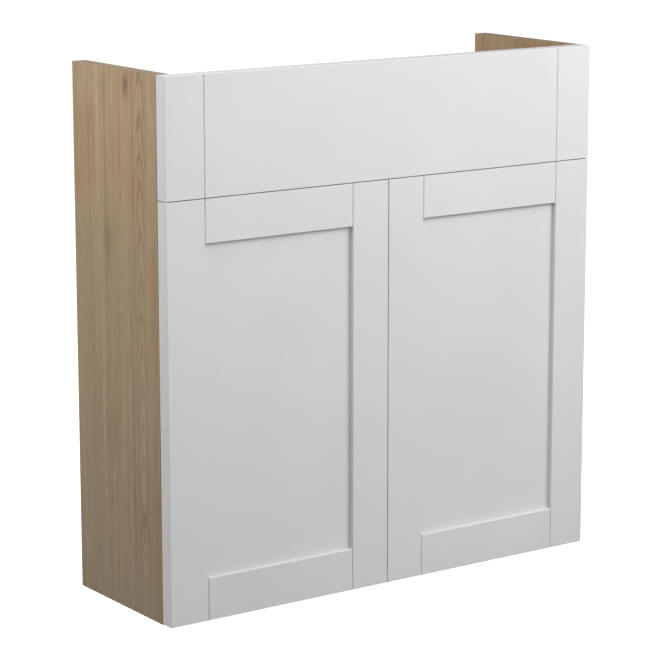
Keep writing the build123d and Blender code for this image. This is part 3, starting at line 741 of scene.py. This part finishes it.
class VanityStageSettings(bpy.types.PropertyGroup):
    """The studio round the unit: camera and lights"""

    azimuth: FloatProperty(
        name="Azimuth",
        description="Direction in which the camera looks, from straight at the fronts",
        default=math.radians(35.13),
        subtype="ANGLE",
        unit="ROTATION",
    )
    elevation: FloatProperty(
        name="Elevation",
        description="How far the camera looks down",
        default=math.radians(11.174),
        subtype="ANGLE",
        unit="ROTATION",
    )
    distance: FloatProperty(
        name="Distance",
        description="Distance from the camera to the point that it looks at",
        default=3.1014,
        subtype="DISTANCE",
        unit="LENGTH",
    )
    target_height: FloatProperty(
        name="Target height",
        description="Height of the point that the camera looks at",
        default=0.3274,
        subtype="DISTANCE",
        unit="LENGTH",
    )
    lens: FloatProperty(
        name="Lens",
        description="Focal length in millimetres on a 36 mm sensor",
        default=140.57,
        min=10,
        unit="CAMERA",
    )
    shift: FloatVectorProperty(
        name="Shift",
        description="Lens shift that frames the unit as the photograph does",
        default=(-0.0089, -0.05),
        size=2,
    )
    key_power: FloatProperty(
        name="Key light",
        description="Power of the high soft box in front of the unit",
        default=27,
        min=0,
        unit="POWER",
    )
    side_power: FloatProperty(
        name="Side light",
        description="Power of the high soft box at the unit's left",
        default=13.5,
        min=0,
        unit="POWER",
    )
    floor_glow: FloatProperty(
        name="Floor glow",
        description="How brightly the pale floor is lit from below",
        default=0.9,
        min=0,
    )
    room_strength: FloatProperty(
        name="Room strength",
        description="Strength of the even light from all round",
        default=0.222,
        min=0,
    )


# Operators


class VANITY_OT_boards(bpy.types.Operator):
    """Give the side panels, the base and the rails their oak-foil faces"""

    bl_idname = "vanity.boards"
    bl_label = "Oak-foil boards"

    def execute(self, context):
        board = partial(oak_foil_board, look=context.scene.vanity_boards)
        for side, knots in (
            ("left", ((-15, 605, 5, 0.5), (25, 425, 8, 0.26), (-45, 110, 8, 0.28))),
            ("right", ((38, 250, 7, 0.2),)),
        ):
            # The side panels get painted shade that darkens them towards their foot
            foil = board(f"oak_foil_board_{side}", axes="XYZ", edge_axes="ZXY", knots=knots, drift=1.0)
            dress([f"side_panel_{side}"], foil)
        dress(["base_panel"], board("oak_foil_board_flat", axes="ZYX", edge_axes="ZYX"))
        dress(CROSS_RAILS, board("oak_foil_board_rail", axes="YZX", edge_axes="ZYX"))
        return {"FINISHED"}


class VANITY_OT_fronts(bpy.types.Operator):
    """Give the fascia and both doors their matt white lacquer"""

    bl_idname = "vanity.fronts"
    bl_label = "White fronts"

    def execute(self, context):
        doors = [f"{side}_{piece}" for side in SIDES for piece in DOOR_PIECES]
        dress([*FASCIA, *doors], lacquered_mdf("lacquered_mdf", context.scene.vanity_fronts))
        return {"FINISHED"}


class VANITY_OT_fittings(bpy.types.Operator):
    """Give the cam fittings, hinges, buffers and spacers their metals and plastics"""

    bl_idname = "vanity.fittings"
    bl_label = "Fittings"

    def execute(self, context):
        hinges = [f"{side}_{piece}" for side in SIDES for piece in DOOR_HINGE_PIECES]
        dress(["cam_locks"], die_cast_zinc())
        dress(["cam_bolts"], zinc_plated_steel())
        dress([*hinges, "hinge_plates", "hinge_arms", "arm_pins"], nickel_plated_steel())
        dress([f"{side}_buffers" for side in SIDES], clear_polyurethane())
        dress(["fascia_spacers"], moulded_nylon())
        return {"FINISHED"}


class VANITY_OT_screws(bpy.types.Operator):
    """Make the threaded screws of the fascia and the hinges"""

    bl_idname = "vanity.screws"
    bl_label = "Screws"

    def execute(self, context):
        look = context.scene.vanity_fasteners
        tree, steel = threaded_screw_tree(), bpy.data.materials["zinc_plated_steel"]
        sizes = {
            "Head radius": look.head_radius,
            "Head height": look.head_height,
            "Thread pitch": look.thread_pitch,
            "Thread depth": look.thread_depth,
        }
        # Shank radii in millimetres
        for node, radius, aim_at in (
            ("fascia_screws", 2.0, forwards),
            ("plate_screws", 2.5, outwards),
            ("arm_screws", 2.5, outwards),
            ("left_cup_screws", 1.6, forwards),
            ("right_cup_screws", 1.6, forwards),
        ):
            given = {**sizes, "Shank radius": radius * MM}
            fasteners(node, tree, aim_at, look.head_height, given, steel)
        return {"FINISHED"}


class VANITY_OT_dowels(bpy.types.Operator):
    """Make the fluted dowels of the carcass and the fascia"""

    bl_idname = "vanity.dowels"
    bl_label = "Dowels"

    def execute(self, context):
        look = context.scene.vanity_fasteners
        tree, wood = fluted_dowel_tree(), beech()
        sizes = {"Radius": look.dowel_radius, "Flutes": look.flutes}
        for node in ("carcass_dowels", "fascia_dowels"):
            fasteners(node, tree, crossways, 0.0, sizes, wood)
        return {"FINISHED"}


def soft_box(name, place, aim, power):
    """A wide area light at a place, turned to what it lights."""
    light = bpy.data.lights.new(name, "AREA")
    light.shape, light.energy = "RECTANGLE", power
    light.size, light.size_y = SOFT_BOX_SIZE
    made = bpy.data.objects.new(name, light)
    made.location = place
    made.rotation_mode = "QUATERNION"
    made.rotation_quaternion = (Vector(aim) - Vector(place)).to_track_quat("-Z", "Y")
    bpy.context.scene.collection.objects.link(made)


class VANITY_OT_stage(bpy.types.Operator):
    """Set up the pale floor, the soft studio light and the camera"""

    bl_idname = "vanity.stage"
    bl_label = "Stage"

    def execute(self, context):
        scene, look = context.scene, context.scene.vanity_stage
        shape = bmesh.new()
        bmesh.ops.create_circle(shape, cap_ends=True, segments=FLOOR_SIDES, radius=FLOOR_RADIUS)
        mesh = bpy.data.meshes.new("studio_floor")
        shape.to_mesh(mesh)
        shape.free()
        mesh.transform(Matrix.Translation((0, 0, CAD_BOX[0].z - FLOOR_GAP)))
        material, add = new_material("studio_floor")
        # Pale vinyl, lit so evenly that it shows as white
        place = add(COORDINATES, output="Object")
        grain = add(NOISE, {"Vector": place, "Scale": 1 / (3 * MM), "Detail": 2.0})
        shader = add(
            PRINCIPLED,
            {
                "Base Color": add(RAMP, (grain,), stops=((0.3, "#F2F2F2"), (0.7, "#F6F6F6"))),
                "Roughness": 0.9,
                "Emission Color": linear("#FFFFFF"),
                "Emission Strength": look.floor_glow,
            },
        )
        add(OUTPUT, (shader,))
        mesh.materials.append(material)
        floor = bpy.data.objects.new("studio_floor", mesh)
        scene.collection.objects.link(floor)
        # The fronts get darker towards their foot, so the floor throws no light on them
        floor.visible_diffuse = False

        world = bpy.data.worlds.new("studio_room")
        world.use_nodes = True
        sky = world.node_tree.nodes["Background"]
        sky.inputs["Color"].default_value = (1, 1, 1, 1)
        sky.inputs["Strength"].default_value = look.room_strength
        scene.world = world

        for name, place, aim, power in (
            ("key_box", (0.6, -1.3, 1.32), (0.1, 0, 0.45), look.key_power),
            ("side_box", (-0.95, 0.12, 1.3), (-0.3, 0.05, 0.45), look.side_power),
        ):
            soft_box(name, place, aim, power)

        forward = Vector(
            (
                math.sin(look.azimuth) * math.cos(look.elevation),
                math.cos(look.azimuth) * math.cos(look.elevation),
                -math.sin(look.elevation),
            )
        )
        lens = bpy.data.cameras.new("camera")
        lens.lens, lens.sensor_width = look.lens, SENSOR_WIDTH
        lens.shift_x, lens.shift_y = look.shift
        camera = bpy.data.objects.new("camera", lens)
        camera.location = Vector((0, 0, look.target_height)) - forward * look.distance
        camera.rotation_mode = "QUATERNION"
        camera.rotation_quaternion = forward.to_track_quat("-Z", "Y")
        scene.collection.objects.link(camera)
        scene.camera = camera
        scene.view_settings.view_transform = "Standard"
        return {"FINISHED"}


class VANITY_PT_panel(bpy.types.Panel):
    """Lists the steps that finish the unit, and their settings"""

    bl_idname = "VANITY_PT_panel"
    bl_label = "Vanity base unit"
    bl_space_type = "VIEW_3D"
    bl_region_type = "UI"
    bl_category = "Vanity"

    def draw(self, context):
        for step in STEPS:
            self.layout.operator(step.bl_idname)
        for group, kind in SETTINGS.items():
            box = self.layout.box()
            for setting in kind.__annotations__:
                box.prop(getattr(context.scene, group), setting)


STEPS = (
    VANITY_OT_boards,
    VANITY_OT_fronts,
    VANITY_OT_fittings,
    VANITY_OT_screws,
    VANITY_OT_dowels,
    VANITY_OT_stage,
)
SETTINGS = {
    "vanity_boards": VanityBoardSettings,
    "vanity_fronts": VanityFrontSettings,
    "vanity_fasteners": VanityFastenerSettings,
    "vanity_stage": VanityStageSettings,
}


def register():
    """Register the settings, the steps and the panel."""
    for kind in (*SETTINGS.values(), *STEPS, VANITY_PT_panel):
        bpy.utils.register_class(kind)
    for name, kind in SETTINGS.items():
        setattr(bpy.types.Scene, name, PointerProperty(type=kind))


def unregister():
    """Take the settings, the steps and the panel out again."""
    for name in SETTINGS:
        delattr(bpy.types.Scene, name)
    for kind in reversed((*SETTINGS.values(), *STEPS, VANITY_PT_panel)):
        bpy.utils.unregister_class(kind)


def main():
    """Run every step in order."""
    register()
    for step in STEPS:
        group, name = step.bl_idname.split(".")
        getattr(getattr(bpy.ops, group), name)()


if __name__ == "__main__":
    main()
